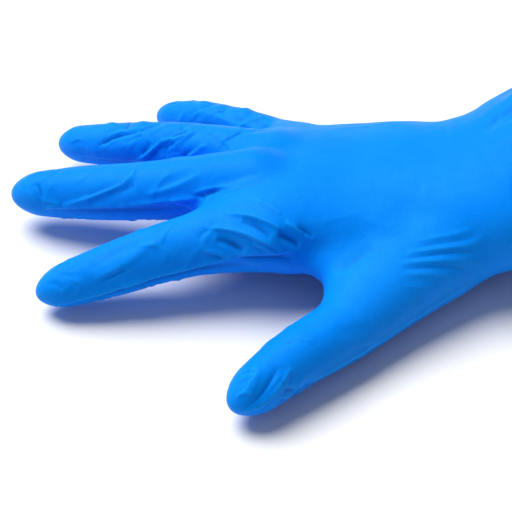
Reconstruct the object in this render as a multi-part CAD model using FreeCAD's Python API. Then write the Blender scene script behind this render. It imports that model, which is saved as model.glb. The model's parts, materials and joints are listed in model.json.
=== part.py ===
"""A thin disposable glove for the right hand, standing in the shape it takes on a spread hand.

The glove is one dipped film. It is divided here where it bends, so that every stretch that stays
in one shape is a body and every stretch that folds is a band between two bodies.

Frame, in millimetres: the fingers point along -X, the thumb side is -Y, the back of the hand
faces +Z. The glove is laid out from the middle knuckle, and at the end it is moved so that the
origin is the centre of its bounding box's bottom.
"""

import FreeCAD, Part
import math
import os

from FreeCAD import Vector

# Film and bead.
FILM = 0.15                       # wall of the dipped film
BEAD_RADIUS = 0.9                 # rolled edge at the cuff

# Fingers. A knuckle is the joint's centre in the layout; splay turns a finger towards the thumb
# and droop tips each of its three stretches down, in degrees. Stretches run from joint to joint,
# the last one to the centre of the rounded tip. Radii are at the knuckle, the two joints and the
# tip. root is where the free part of the finger starts, from the knuckle.
FINGERS = {
    "index": dict(knuckle=(0.0, -22.0, -3.5), splay=13.5, droop=(8.5, 14.5, 14.0),
                  lengths=(41.0, 24.0, 15.5), radii=(13.4, 11.2, 9.9, 8.2), root=22.0),
    "middle": dict(knuckle=(-2.0, 0.0, 2.0), splay=-6.0, droop=(13.0, 8.5, 8.0),
                   lengths=(46.5, 28.5, 17.0), radii=(13.2, 11.4, 10.2, 8.5), root=22.5),
    "ring": dict(knuckle=(5.0, 20.0, -3.5), splay=-16.5, droop=(6.0, 12.0, 12.5),
                 lengths=(44.0, 27.0, 17.5), radii=(12.0, 10.2, 9.0, 7.5), root=21.0),
    "little": dict(knuckle=(15.5, 38.5, -13.5), splay=-31.0, droop=(3.0, 10.5, 18.0),
                   lengths=(32.5, 19.0, 15.0), radii=(10.6, 8.7, 7.8, 6.6), root=16.0),
}
ROOT_BAND_LENGTH = 5.0            # of the film that folds where a finger leaves the webs
PIP_REACH = 0.95                  # of the folding film to each side of a joint, in joint radii
DIP_REACH = 0.55

# Thumb, laid out in the same way. Its first stretch runs from the wrist to where the film folds,
# which is just past the web.
THUMB_START = (67.0, -29.0, -12.0)
THUMB_SPLAY = (46.0, 42.7, 43.4)
THUMB_DROOP = (5.4, -0.8, 6.5)
THUMB_LENGTHS = (48.5, 24.5, 21.5)
THUMB_RADII = (16.0, 12.6, 11.3, 9.3)
THUMB_REACH = 0.62                # of the folding film to each side of a joint, in joint radii

# The thumb's root folds along a line on the palm's border. The band of film there lies between
# two upright planes, the first one through these two points.
ROOT_LINE = ((84.0, -38.5), (0.0, -42.5))
ROOT_BAND = 12.0

# The knuckle line, along which all four fingers fold together.
FOLD_POINT = (3.0, 2.0)
FOLD_SLANT = 14.4                 # degrees from the Y axis
FOLD_REACH = 9.0                  # of the band, to each side

# Palm sections: centre, half width, half height, slant of the section's plane about Z and lean
# towards the little finger, in degrees.
PALM_SECTIONS = (
    ((81.0, 0.8, -5.3), 40.5, 22.8, 0.0, 1.0),
    ((62.0, 6.0, -4.5), 35.5, 19.5, 3.0, 3.0),
    ((38.0, 6.5, -5.0), 38.5, 17.0, 8.0, 6.0),
)
# The same at a distance from the knuckle line, with the offset along that line in place of the
# centre's X and Y.
KNUCKLE_SECTIONS = (
    (-9.0, 3.5, -4.0, 43.5, 16.5, 8.0),
    (0.0, 3.2, -4.0, 43.5, 16.0, 8.0),
    (9.0, 3.2, -5.0, 43.0, 14.0, 8.0),
)
WEB_END = (17.0, 3.5, -7.0, 30.0, 8.5, 8.0)

# The web between thumb and palm: centre, half length along the root line, half height.
WEB_SECTIONS = (
    ((40.0, -27.0, -9.0), 25.0, 10.5),
    ((42.0, -39.0, -11.0), 19.0, 8.5),
    ((46.5, -49.0, -13.0), 13.0, 7.0),
)

# Wrist and cuff. Turn is towards the little finger, rise lifts the cuff off the surface.
WRIST = (93.0, 3.5, -2.0)
CUFF_TURN, CUFF_RISE = 18.0, 18.0
WRIST_SECTION = (38.0, 24.5)
# Distance from the wrist, half width and half height.
CUFF_SECTIONS = ((12.0, 38.5, 26.0), (28.0, 38.5, 27.5), (42.0, 39.0, 28.0), (57.0, 39.5, 28.5))

FAR = 400.0                       # size of the blocks that cut the film


def heading(splay, droop):
    """Unit vector of a stretch that is turned towards the thumb and tipped down."""
    s, d = math.radians(splay), math.radians(droop)
    return Vector(-math.cos(d) * math.cos(s), -math.cos(d) * math.sin(s), -math.sin(d))


def unit(vector):
    return Vector(vector).normalize()


def sideways(axis):
    """Horizontal unit vector across an axis, towards +Y for an axis along -X."""
    return unit(Vector(0, 0, 1).cross(axis)) * -1


def ellipse(centre, axis, across, a, b):
    """Closed wire of an ellipse with its half width a along across, in the plane across axis."""
    up = unit(axis.cross(across))
    long_way, short_way, across_way = (a, b, across) if a >= b else (b, a, up)
    curve = Part.Ellipse(centre + across_way * long_way,
                         centre + unit(axis).cross(across_way) * short_way, centre)
    return Part.Wire([curve.toShape()])


def ring(centre, axis, radius):
    return Part.Wire([Part.makeCircle(radius, centre, axis)])


def loft(wires):
    return Part.makeLoft(wires, True, False)


def half_space(point, normal):
    """A block that fills the side of a plane that normal points to."""
    block = Part.makeBox(FAR, FAR, FAR, Vector(-FAR / 2, -FAR / 2, 0))
    turn = FreeCAD.Rotation(Vector(0, 0, 1), normal)
    block.Placement = FreeCAD.Placement(point, turn)
    return block


def one_solid(shape):
    """The largest solid of a boolean's result."""
    return max(shape.Solids, key=lambda solid: solid.Volume)


# --- round stretches: fingers and thumb ---------------------------------------------------

class Digit:
    """The centre line of a finger or thumb with its radius, measured along the line."""

    def __init__(self, start, splays, droops, lengths, radii):
        self.points = [Vector(*start)]
        self.axes = [heading(s, d) for s, d in zip(splays, droops)]
        self.lengths, self.radii = lengths, radii
        for axis, length in zip(self.axes, lengths):
            self.points.append(self.points[-1] + axis * length)

    def at(self, stretch, along, inset=0.0):
        """Centre, axis and radius at a distance along one stretch."""
        share = along / self.lengths[stretch]
        radius = self.radii[stretch] + share * (self.radii[stretch + 1] - self.radii[stretch])
        return self.points[stretch] + self.axes[stretch] * along, self.axes[stretch], radius - inset

    def filled(self, stretch, start, end, inset=0.0):
        """A straight stretch between two distances, filled."""
        first, last = self.at(stretch, start, inset), self.at(stretch, end, inset)
        return Part.makeCone(first[2], last[2], end - start, first[0], first[1])

    def tube(self, stretch, start, end):
        """Film of a straight stretch between two distances."""
        return self.filled(stretch, start, end).cut(self.filled(stretch, start, end, FILM))

    def band(self, joint, reach):
        """Film around a joint, as far as reach to each side of it."""
        def solid(inset):
            centre, radius = self.points[joint], self.radii[joint] - inset
            bisector = unit(self.axes[joint - 1] + self.axes[joint])
            first = self.at(joint - 1, self.lengths[joint - 1] - reach, inset)
            last = self.at(joint, reach, inset)
            return loft([ring(*first), ring(centre, bisector, radius), ring(*last)])
        return solid(0.0).cut(solid(FILM))

    def tip(self, start):
        """Film of the closed end, a cone with a rounded nose."""
        return self.blunt(start, 0.0).cut(self.blunt(start, FILM))

    def blunt(self, start, inset):
        stretch = len(self.axes) - 1
        base, axis, radius = self.at(stretch, start, inset)
        centre, nose = self.points[-1], self.radii[-1] - inset
        cone = Part.makeCone(radius, nose, (centre - base).Length, base, axis)
        ball = Part.makeSphere(nose, centre, axis, 0, 90, 360)
        return cone.fuse(ball).removeSplitter()


def finger(spec):
    return Digit(spec["knuckle"], [spec["splay"]] * 3, spec["droop"], spec["lengths"], spec["radii"])


def finger_parts(name, digit, root):
    """The six stretches of a finger's film, from its root to its tip."""
    tube_start = root + ROOT_BAND_LENGTH
    pip, dip = PIP_REACH * digit.radii[1], DIP_REACH * digit.radii[2]
    return {
        name + "_root_band": digit.tube(0, root, tube_start),
        name + "_proximal_tube": digit.tube(0, tube_start, digit.lengths[0] - pip),
        name + "_pip_band": digit.band(1, pip),
        name + "_middle_tube": digit.tube(1, pip, digit.lengths[1] - dip),
        name + "_dip_band": digit.band(2, dip),
        name + "_fingertip": digit.tip(dip),
    }


def thumb_parts(thumb):
    """The four stretches of the thumb's film past its base."""
    mcp, ip = THUMB_REACH * thumb.radii[1], THUMB_REACH * thumb.radii[2]
    return {
        "thumb_mcp_band": thumb.band(1, mcp),
        "thumb_proximal_tube": thumb.tube(1, mcp, thumb.lengths[1] - ip),
        "thumb_ip_band": thumb.band(2, ip),
        "thumb_tip": thumb.tip(ip),
    }


# --- palm, knuckles and webs --------------------------------------------------------------

FOLD_AXIS = Vector(math.sin(math.radians(FOLD_SLANT)), math.cos(math.radians(FOLD_SLANT)), 0)
FOLD_NORMAL = Vector(-FOLD_AXIS.y, FOLD_AXIS.x, 0)          # towards the fingertips


def palm_wire(section, inset):
    centre, a, b, slant, lean = section
    s = math.radians(slant)
    axis = Vector(-math.cos(s), math.sin(s), 0)
    return leaning_ellipse(Vector(*centre), axis, lean, a - inset, b - inset)


def knuckle_wire(section, inset, shift=0.0):
    distance, along, height, a, b, lean = section
    base = Vector(*FOLD_POINT, 0)
    centre = base + FOLD_NORMAL * (distance - shift) + FOLD_AXIS * along + Vector(0, 0, height)
    return leaning_ellipse(centre, FOLD_NORMAL, lean, a - inset, b - inset)


def leaning_ellipse(centre, axis, lean, a, b):
    tilt = math.radians(lean)
    across = sideways(axis) * math.cos(tilt) - Vector(0, 0, 1) * math.sin(tilt)
    return ellipse(centre, axis, across, a, b)


def hand_solid(digits, thumb, inset):
    """Palm, knuckles, webs, the fingers' roots and the thumb's first stretch, filled."""
    knuckles = [knuckle_wire(section, inset) for section in KNUCKLE_SECTIONS]
    palm = loft([palm_wire(section, inset) for section in PALM_SECTIONS] + knuckles[:1])
    webs = loft([knuckles[-1], knuckle_wire(WEB_END, inset, inset)])
    roots = []
    for name, digit in digits.items():
        roots += rounded_stretch(digit, FINGERS[name]["root"], inset)
    thumb_web = loft([ellipse(Vector(*centre), ROOT_NORMAL, ROOT_AXIS, a - inset, b - inset)
                      for centre, a, b in WEB_SECTIONS])
    thumb_end = thumb.lengths[0] - THUMB_REACH * thumb.radii[1]
    return palm.fuse([loft(knuckles), webs, thumb_web]
                     + roots + rounded_stretch(thumb, thumb_end, inset))


def rounded_stretch(digit, end, inset):
    """The first stretch of a digit up to a distance, with a round start."""
    centre, _, radius = digit.at(0, 0.0, inset)
    return [digit.filled(0, 0.0, end, inset), Part.makeSphere(radius, centre)]


ROOT_AXIS = unit(Vector(*ROOT_LINE[1], 0) - Vector(*ROOT_LINE[0], 0))
ROOT_NORMAL = Vector(ROOT_AXIS.y, -ROOT_AXIS.x, 0) * -1     # away from the palm


def hand_parts(digits, thumb):
    """The five stretches of the hand's film, cut from one shell by upright planes."""
    film = hand_solid(digits, thumb, 0.0).cut(hand_solid(digits, thumb, FILM))
    wrist = half_space(Vector(PALM_SECTIONS[0][0][0], 0, 0), Vector(1, 0, 0))
    root = Vector(*ROOT_LINE[0], 0)
    past_root = half_space(root, ROOT_NORMAL)
    past_root_band = half_space(root + ROOT_NORMAL * ROOT_BAND, ROOT_NORMAL)
    fold = Vector(*FOLD_POINT, 0)
    past_fold_start = half_space(fold - FOLD_NORMAL * FOLD_REACH, FOLD_NORMAL)
    past_fold_end = half_space(fold + FOLD_NORMAL * FOLD_REACH, FOLD_NORMAL)
    hand = film.cut(wrist)
    thumb_side = hand.common(past_root)
    palm_side = hand.cut(past_root)
    webs = palm_side.common(past_fold_end)
    for name, digit in digits.items():
        free = FINGERS[name]["root"]
        webs = webs.cut(digit.filled(0, free, free + ROOT_BAND_LENGTH))
    return {
        "palm": one_solid(palm_side.cut(past_fold_start)),
        "knuckle_band": one_solid(palm_side.common(past_fold_start).cut(past_fold_end)),
        "finger_webs": one_solid(webs),
        "thumb_root_band": one_solid(thumb_side.cut(past_root_band)),
        "thumb_base": one_solid(thumb_side.common(past_root_band)),
    }


# --- cuff ---------------------------------------------------------------------------------

def cuff_axis():
    turn, rise = math.radians(CUFF_TURN), math.radians(CUFF_RISE)
    return Vector(math.cos(rise) * math.cos(turn), math.cos(rise) * math.sin(turn), math.sin(rise))


def cuff_wire(section, inset):
    distance, a, b = section
    axis = cuff_axis()
    return ellipse(Vector(*WRIST) + axis * distance, axis * -1, sideways(axis * -1),
                   a - inset, b - inset)


def wrist_solid(inset):
    half = unit(cuff_axis() * -1 + Vector(-1, 0, 0))
    middle = ellipse(Vector(*WRIST), half, sideways(half), WRIST_SECTION[0] - inset,
                     WRIST_SECTION[1] - inset)
    return loft([palm_wire(PALM_SECTIONS[0], inset), middle, cuff_wire(CUFF_SECTIONS[0], inset)])


def sleeve_solid(inset):
    return loft([cuff_wire(section, inset) for section in CUFF_SECTIONS])


def bead():
    """The rolled edge, a round cord of film along the cuff's opening."""
    distance, a, b = CUFF_SECTIONS[-1]
    path = cuff_wire((distance + BEAD_RADIUS, a, b), FILM / 2)
    edge = path.Edges[0]
    start, way = edge.valueAt(edge.FirstParameter), edge.tangentAt(edge.FirstParameter)
    return path.makePipeShell([ring(start, way, BEAD_RADIUS)], True, True)


def build():
    """Every node of the glove in the layout."""
    digits = {name: finger(spec) for name, spec in FINGERS.items()}
    thumb = Digit(THUMB_START, THUMB_SPLAY, THUMB_DROOP, THUMB_LENGTHS, THUMB_RADII)
    nodes = hand_parts(digits, thumb)
    nodes["wrist_band"] = wrist_solid(0.0).cut(wrist_solid(FILM))
    nodes["cuff_sleeve"] = sleeve_solid(0.0).cut(sleeve_solid(FILM))
    nodes["cuff_bead"] = bead()
    for name, digit in digits.items():
        nodes.update(finger_parts(name, digit, FINGERS[name]["root"]))
    nodes.update(thumb_parts(thumb))
    return nodes, digits, thumb


def origin_of(nodes):
    """The centre of the bottom of the whole glove's bounding box."""
    box = Part.makeCompound(list(nodes.values())).optimalBoundingBox(False)
    return Vector(box.Center.x, box.Center.y, box.ZMin)


NODES, DIGITS, THUMB = build()
ORIGIN = origin_of(NODES)

os.makedirs("parts", exist_ok=True)
for node, shape in NODES.items():
    moved = shape.copy()
    moved.translate(ORIGIN * -1)
    moved.exportStep("parts/" + node + ".step")
    print(f"{node:22s} solids {len(moved.Solids)} valid {moved.isValid()} volume {moved.Volume:9.3f}")
print("origin", ORIGIN)
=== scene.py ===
"""The looks of a thin blue nitrile glove, spread on a pale floor.

The glove's film is one surface. It is made as a single mesh from a smooth solid that follows the
same layout as the CAD model, wrinkled, and then divided at the glove's folds; each piece rides on
the body of its CAD node, and the bands between two bodies stay where they are made. Lengths below
are millimetres in the layout, where the middle knuckle is near (0, 0, 0), the fingers point along
-X, the thumb side is -Y and +Z is up out of the back of the hand. Blender's objects are in metres.
"""

import json
import math

import bmesh
import bpy
import numpy as np
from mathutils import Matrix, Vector


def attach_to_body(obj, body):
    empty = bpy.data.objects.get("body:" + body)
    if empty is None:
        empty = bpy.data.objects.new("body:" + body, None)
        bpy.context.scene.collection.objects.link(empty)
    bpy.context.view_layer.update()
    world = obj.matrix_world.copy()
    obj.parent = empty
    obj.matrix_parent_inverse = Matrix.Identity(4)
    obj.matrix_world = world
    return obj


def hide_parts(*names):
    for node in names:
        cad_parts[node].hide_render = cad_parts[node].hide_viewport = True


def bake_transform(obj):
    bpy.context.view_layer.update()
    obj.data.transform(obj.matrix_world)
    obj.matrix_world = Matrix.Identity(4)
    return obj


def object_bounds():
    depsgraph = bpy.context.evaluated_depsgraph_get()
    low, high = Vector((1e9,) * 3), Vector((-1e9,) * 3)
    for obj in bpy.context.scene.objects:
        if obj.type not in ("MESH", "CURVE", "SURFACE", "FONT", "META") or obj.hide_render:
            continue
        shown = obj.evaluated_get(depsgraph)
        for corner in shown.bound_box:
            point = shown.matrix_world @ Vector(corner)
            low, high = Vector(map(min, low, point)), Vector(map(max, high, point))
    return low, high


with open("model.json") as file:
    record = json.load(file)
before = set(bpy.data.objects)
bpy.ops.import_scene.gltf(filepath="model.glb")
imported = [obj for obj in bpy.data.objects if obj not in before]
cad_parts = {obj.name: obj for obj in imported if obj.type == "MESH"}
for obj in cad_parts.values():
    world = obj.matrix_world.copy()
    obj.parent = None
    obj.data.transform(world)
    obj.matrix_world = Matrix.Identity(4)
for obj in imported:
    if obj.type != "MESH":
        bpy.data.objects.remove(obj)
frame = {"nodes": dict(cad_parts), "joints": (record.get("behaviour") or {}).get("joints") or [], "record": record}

CAD_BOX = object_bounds()
JOINTS = {joint["name"]: joint for joint in frame["joints"]}

# --- the layout -------------------------------------------------------------------------------

FILM = 0.15                     # wall of the film
GRID = 0.65                     # spacing of the surface's vertices
MARGINS = (6.0, 12.0)           # of the grid below and above the CAD's box
GROOVE_START, GROOVE_SHADE = 0.4, 0.7       # depth from which a groove gets painted shade, and how fast
FULL_BEND = 0.08                # rise between neighbours that counts as a full fold, for the painted shade and highlight
FOLD_POINT = np.array((3.0, 2.0, -8.0))
ORIGIN = FOLD_POINT - 1000.0 * np.array(JOINTS["knuckle_fold"]["pos_m"])

# Each finger: its knuckle, splay towards the thumb and droop of its three stretches in degrees,
# their lengths, the radii at the knuckle, the two joints and the tip, and where the free part
# starts.
FINGERS = {
    "index": dict(knuckle=(0.0, -22.0, -3.5), splay=13.5, droop=(8.5, 14.5, 14.0),
                  lengths=(41.0, 24.0, 15.5), radii=(13.4, 11.2, 9.9, 8.2), root=22.0),
    "middle": dict(knuckle=(-2.0, 0.0, 2.0), splay=-6.0, droop=(13.0, 8.5, 8.0),
                   lengths=(46.5, 28.5, 17.0), radii=(13.2, 11.4, 10.2, 8.5), root=22.5),
    "ring": dict(knuckle=(5.0, 20.0, -3.5), splay=-16.5, droop=(6.0, 12.0, 12.5),
                 lengths=(44.0, 27.0, 17.5), radii=(12.0, 10.2, 9.0, 7.5), root=21.0),
    "little": dict(knuckle=(15.5, 38.5, -13.5), splay=-31.0, droop=(3.0, 10.5, 18.0),
                   lengths=(32.5, 19.0, 15.0), radii=(10.6, 8.7, 7.8, 6.6), root=16.0),
}
ROOT_BAND = 5.0                 # length of the band at a finger's root
PIP_REACH, DIP_REACH, THUMB_REACH = 0.95, 0.55, 0.62     # of a joint's band, in joint radii

THUMB_START = (67.0, -29.0, -12.0)
THUMB_SPLAY = (46.0, 42.7, 43.4)
THUMB_DROOP = (5.4, -0.8, 6.5)
THUMB_LENGTHS = (48.5, 24.5, 21.5)
THUMB_RADII = (16.0, 12.6, 11.3, 9.3)
ROOT_LINE = ((84.0, -38.5), (0.0, -42.5))
THUMB_ROOT_BAND = 12.0

FOLD_SLANT, FOLD_REACH = 14.4, 9.0
PALM_END = 81.0
WRIST = (93.0, 3.5, -2.0)
CUFF_TURN, CUFF_RISE = 18.0, 18.0
CUFF_LENGTH = 57.0              # from the wrist to the bead
CUFF_HALF = (39.5, 28.5)        # half width and half height of the cuff's end
CUFF_RADIUS = 33.0              # a rough radius, for laying folds round the cuff
WRIST_REACH = 12.0              # of the wrist's band past the wrist, along the cuff
BEAD_RADIUS = 0.9


def unit(vector):
    return vector / np.linalg.norm(vector)


def heading(splay, droop):
    """Unit vector that is turned towards the thumb and tipped down by two angles in degrees."""
    s, d = math.radians(splay), math.radians(droop)
    return np.array((-math.cos(d) * math.cos(s), -math.cos(d) * math.sin(s), -math.sin(d)))


class Digit:
    """A finger's or the thumb's centre line, with its radii and the planes that divide it."""

    def __init__(self, start, splays, droops, lengths, radii):
        self.axes = [heading(s, d) for s, d in zip(splays, droops)]
        self.points = [np.array(start)]
        for axis, length in zip(self.axes, lengths):
            self.points.append(self.points[-1] + axis * length)
        self.lengths, self.radii = lengths, radii
        self.starts = np.concatenate(([0.0], np.cumsum(lengths)))

    def ends(self, joint, reach):
        """Start and end of the band around a joint."""
        centre = self.points[joint]
        return centre - self.axes[joint - 1] * reach, centre + self.axes[joint] * reach

    def chart(self, points):
        """Distance along the digit and angle about it from its top towards the thumb side."""
        nearest = np.full(len(points), np.inf)
        along, angle, radius = (np.zeros(len(points)) for _ in range(3))
        for i, axis in enumerate(self.axes):
            offset = points - self.points[i]
            low = -np.inf if i == 0 else 0.0
            high = np.inf if i == len(self.axes) - 1 else self.lengths[i]
            t = np.clip(offset @ axis, low, high)
            across = offset - t[:, None] * axis
            distance = np.linalg.norm(across, axis=1)
            up = unit(np.array((0.0, 0.0, 1.0)) - axis * axis[2])
            side = np.cross(up, axis) * -1.0
            if side[1] > 0:
                side = -side
            closer = distance < nearest
            nearest = np.where(closer, distance, nearest)
            along = np.where(closer, self.starts[i] + t, along)
            angle = np.where(closer, np.degrees(np.arctan2(across @ side, across @ up)), angle)
            radius = np.interp(along, self.starts, self.radii)
        return along, angle, radius, nearest


DIGITS = {name: Digit(f["knuckle"], [f["splay"]] * 3, f["droop"], f["lengths"], f["radii"])
          for name, f in FINGERS.items()}
THUMB = Digit(THUMB_START, THUMB_SPLAY, THUMB_DROOP, THUMB_LENGTHS, THUMB_RADII)
ALL_DIGITS = {**DIGITS, "thumb": THUMB}
SLANT = math.radians(FOLD_SLANT)
FOLD_AXIS = np.array((math.sin(SLANT), math.cos(SLANT), 0.0))
FOLD_NORMAL = np.array((-FOLD_AXIS[1], FOLD_AXIS[0], 0.0))
CUFF_AXIS = -heading(CUFF_TURN, CUFF_RISE)
CUFF_SIDE = unit(np.cross(CUFF_AXIS, (0.0, 0.0, 1.0)))          # towards the thumb
CUFF_UP = np.cross(CUFF_SIDE, CUFF_AXIS)
ROOT_AXIS = unit(np.append(np.subtract(ROOT_LINE[1], ROOT_LINE[0]), 0.0))
ROOT_NORMAL = np.array((-ROOT_AXIS[1], ROOT_AXIS[0], 0.0))


# --- the smooth solid -------------------------------------------------------------------------

def join(a, b, blend):
    """Union of two distance fields, rounded where they meet."""
    share = np.maximum(blend - np.abs(a - b), 0.0) / blend
    return np.minimum(a, b) - share * share * blend / 4.0


def fade(value, full, none):
    """1 up to full, 0 from none on, smooth between."""
    t = np.clip((value - none) / (full - none), 0.0, 1.0)
    return t * t * (3.0 - 2.0 * t)


def round_cone(points, start, end, first, last, flat=1.0):
    """Distance to a stretch between two spheres; flat under 1 makes it lower than wide."""
    axis = end - start
    offset = points - start
    t = np.clip((offset @ axis) / (axis @ axis), 0.0, 1.0)
    across = offset - t[:, None] * axis
    across[:, 2] /= flat
    return np.sqrt(np.einsum("ij,ij->i", across, across)) - (first + (last - first) * t)


class Sweep:
    """A hollow body's outline: oval sections in planes of their own along a bent line."""

    def __init__(self, sections, corner=2.2, samples=240):
        rows = []
        for centre, normal, lean, width, top, bottom in sections:
            normal = unit(np.array(normal, float))
            side = unit(np.cross(normal, (0.0, 0.0, 1.0)))
            lean = math.radians(lean)
            across = side * math.cos(lean) + np.array((0.0, 0.0, math.sin(lean)))
            rows.append(np.concatenate((centre, normal, across, (width, top, bottom))))
        rows = np.array(rows, float)
        steps = np.linalg.norm(np.diff(rows[:, :3], axis=0), axis=1)
        knots = np.concatenate(([0.0], np.cumsum(steps)))
        self.length, self.corner = knots[-1], corner
        self.t = np.linspace(0.0, self.length, samples)
        self.rows = smooth_through(knots, rows, self.t)

    def __call__(self, points):
        coarse = self.rows[::16, :3]
        gaps = ((points[:, None, :] - coarse[None]) ** 2).sum(axis=2)
        t = self.t[::16][gaps.argmin(axis=1)]
        for _ in range(4):
            place = between(t, self.t, self.rows, range(6))
            step = np.einsum("ij,ij->i", points - place[:, :3], place[:, 3:])
            t = np.clip(t + step, 0.0, self.length)
        row = between(t, self.t, self.rows, range(12))
        offset = points - row[:, :3]
        normal, across = row[:, 3:6], row[:, 6:9]
        beyond = np.abs(np.einsum("ij,ij->i", offset, normal))
        u = np.einsum("ij,ij->i", offset, across)
        v = np.einsum("ij,ij->i", offset, np.cross(across, normal))
        height = np.where(v > 0.0, row[:, 10], row[:, 11])
        m = self.corner
        size = (np.abs(u / row[:, 9]) ** m + np.abs(v / height) ** m) ** (1.0 / m)
        reach = np.hypot(u, v)
        inside = reach - reach / np.maximum(size, 1e-3)
        return np.where(beyond > 0.5, np.maximum(inside, beyond), inside)


def smooth_through(knots, rows, t):
    """Values of a smooth curve through rows at knots (Catmull-Rom with uneven spacing)."""
    slopes = np.gradient(rows, knots, axis=0)
    i = np.clip(np.searchsorted(knots, t, side="right") - 1, 0, len(knots) - 2)
    span = (knots[i + 1] - knots[i])[:, None]
    x = ((t - knots[i]) / span[:, 0])[:, None]
    return ((2 * x ** 3 - 3 * x ** 2 + 1) * rows[i] + (x ** 3 - 2 * x ** 2 + x) * span * slopes[i]
            + (3 * x ** 2 - 2 * x ** 3) * rows[i + 1] + (x ** 3 - x ** 2) * span * slopes[i + 1])


def between(t, knots, rows, columns):
    """Chosen columns of the rows, read off between their knots."""
    return np.stack([np.interp(t, knots, rows[:, c]) for c in columns], axis=1)


NOSE = 1.45                     # length over radius of a digit's rounded end


class Tube:
    """The outside of a digit: round all along a smooth line, with a long round end."""

    def __init__(self, digit, nudge=(0.0, 0.0, 0.0, 0.0), samples=64):
        self.axis = digit.axes[-1]
        self.taper = (digit.radii[-2] - digit.radii[-1]) / digit.lengths[-1]
        end = digit.starts[-1] + digit.radii[-1] * (1.0 - NOSE)
        self.t = np.linspace(0.0, end, samples)
        rows = np.column_stack((digit.points, digit.radii))
        share = (digit.starts / digit.starts[-1])[:, None] ** 0.5
        rows = rows + np.minimum(share * 1.3, 1.0) * np.array(nudge)
        self.rows = smooth_through(digit.starts, rows, self.t)
        self.slopes = np.gradient(self.rows[:, :3], self.t, axis=0)
        self.slopes[-1] = self.axis
        self.nose = NOSE * self.rows[-1, 3]
        reach = max(digit.radii) + 12.0
        ends = np.vstack((self.rows[:, :3], self.rows[-1, :3] + self.axis * self.nose))
        self.low, self.high = ends.min(axis=0) - reach, ends.max(axis=0) + reach

    def nearest(self, points):
        """Distance along the line of the nearest place on it, and that place."""
        t = self.t[::7][((points[:, None, :] - self.rows[::7, :3][None]) ** 2).sum(2).argmin(1)]
        for _ in range(3):
            centre = between(t, self.t, self.rows, range(3))
            along = between(t, self.t, self.slopes, range(3))
            t = np.clip(t + np.einsum("ij,ij->i", points - centre, along), 0.0, self.t[-1])
        return t, between(t, self.t, self.rows, range(3))

    def __call__(self, points):
        field = np.full(len(points), 100.0)
        near = ((points > self.low) & (points < self.high)).all(axis=1)
        if near.any():
            t, centre = self.nearest(points[near])
            offset = points[near] - centre
            beyond = np.where(t >= self.t[-1], np.maximum(offset @ self.axis, 0.0), 0.0)
            across = np.linalg.norm(offset - beyond[:, None] * self.axis, axis=1)
            radius = np.interp(t, self.t, self.rows[:, 3])
            radius = np.maximum(radius - self.taper * beyond, 2.0)
            size = np.hypot(across / radius, beyond / self.nose)
            grade = np.hypot(across / radius ** 2, beyond / self.nose ** 2)
            field[near] = size * (size - 1.0) / np.maximum(grade, 1e-3)
        return field


def at_fold(distance, along, height):
    """A point at a distance past the knuckle line and along it."""
    return (FOLD_POINT * (1, 1, 0) + FOLD_NORMAL * distance + FOLD_AXIS * along
            + np.array((0.0, 0.0, height)))


def hand_sections():
    """From the knuckles to past the cuff's end: centre, normal, lean, half width, top, bottom."""
    wrist, cuff = np.array(WRIST), CUFF_AXIS
    fold = -FOLD_NORMAL

    def palm(degrees):
        turn = math.radians(degrees)
        return (math.cos(turn), -math.sin(turn), 0.0)

    def towards_cuff(share):
        return (1.0 - share) * np.array((1.0, 0.0, 0.0)) + share * cuff

    return [
        (at_fold(17.0, 3.5, -6.0), fold, 8.0, 28.0, 7.5, 9.5),
        (at_fold(9.0, 3.2, -4.5), fold, 8.0, 40.0, 11.0, 14.5),
        (at_fold(0.0, 3.2, -4.0), fold, 8.0, 43.0, 13.5, 16.5),
        (at_fold(-9.0, 3.5, -4.0), fold, 8.0, 43.5, 15.0, 17.0),
        ((38.0, 6.5, -5.0), palm(8.0), 6.0, 38.5, 16.5, 17.5),
        ((58.0, 6.2, -4.6), towards_cuff(0.06), 3.0, 35.8, 18.7, 20.2),
        ((76.0, 2.6, -5.0), towards_cuff(0.26), 1.5, 37.8, 21.8, 22.3),
        ((91.0, 3.2, -2.6), towards_cuff(0.55), 0.5, 38.6, 24.2, 24.4),
        (wrist + cuff * WRIST_REACH, towards_cuff(0.82), 0.0, 38.5, 25.8, 26.0),
        (wrist + cuff * 28.0, cuff, 0.0, 38.5, 27.5, 27.5),
        (wrist + cuff * 42.0, cuff, 0.0, 39.0, 28.0, 28.0),
        *((wrist + cuff * (CUFF_LENGTH + more), cuff, 0.0, *CUFF_HALF, CUFF_HALF[1])
          for more in (0.0, 8.0)),
    ]


HAND = Sweep(hand_sections())
# The film's offset from the finger's line past the knuckle, and how much wider it hangs.
NUDGES = {"index": (0.0, -0.4, -0.4, 0.15), "middle": (0.0, 0.0, 0.0, 0.4),
          "ring": (0.0, 0.25, 0.25, 0.1), "little": (0.0, 0.15, 0.15, 0.2)}
TUBES = {name: Tube(digit, NUDGES[name]) for name, digit in DIGITS.items()}
THUMB_TUBE, THUMB_JOIN = Tube(THUMB), 10.0
# The fingers that each web joins, and how far its core stands back from their root folds.
WEB_LINKS = (("index", "middle", 8.0), ("middle", "ring", 9.0), ("ring", "little", 12.0))
WEB_DROP, WEB_RADIUS, WEB_JOIN = 2.5, 4.0, 8.0
# How softly each finger joins its neighbours: on the hand, and past the webs, which end there.
JOIN_ON_HAND = 7.0
JOIN_PAST_WEBS = {"index": 7.0, "middle": 7.0, "ring": 2.6, "little": 5.0}
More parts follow.
